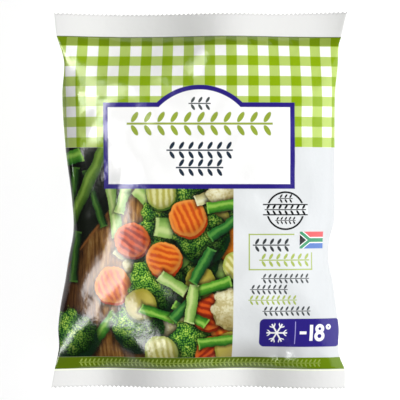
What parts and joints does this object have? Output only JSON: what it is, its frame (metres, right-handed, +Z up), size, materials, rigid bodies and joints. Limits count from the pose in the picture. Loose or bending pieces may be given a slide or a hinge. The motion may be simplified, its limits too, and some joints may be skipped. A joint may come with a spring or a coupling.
{
  "type": "frozen vegetable bag",
  "caption": "Filled pillow pack of printed plastic film, lying on its back, with a flat serrated seal at each end and a lap seam down the back.",
  "frame": {"origin": "on the floor under the middle of the bag, the centre of the bottom of its box", "axes": "+Z up, out of the printed front; +Y along the bag towards its top seal; +X to the right as the front is read"},
  "size_m": [0.2593, 0.3308, 0.0583],
  "materials": {
    "printed_film": "satin printed polyethylene film"
  },
  "bodies": {
    "root": {"bag": "printed_film"}
  },
  "joints": []
}
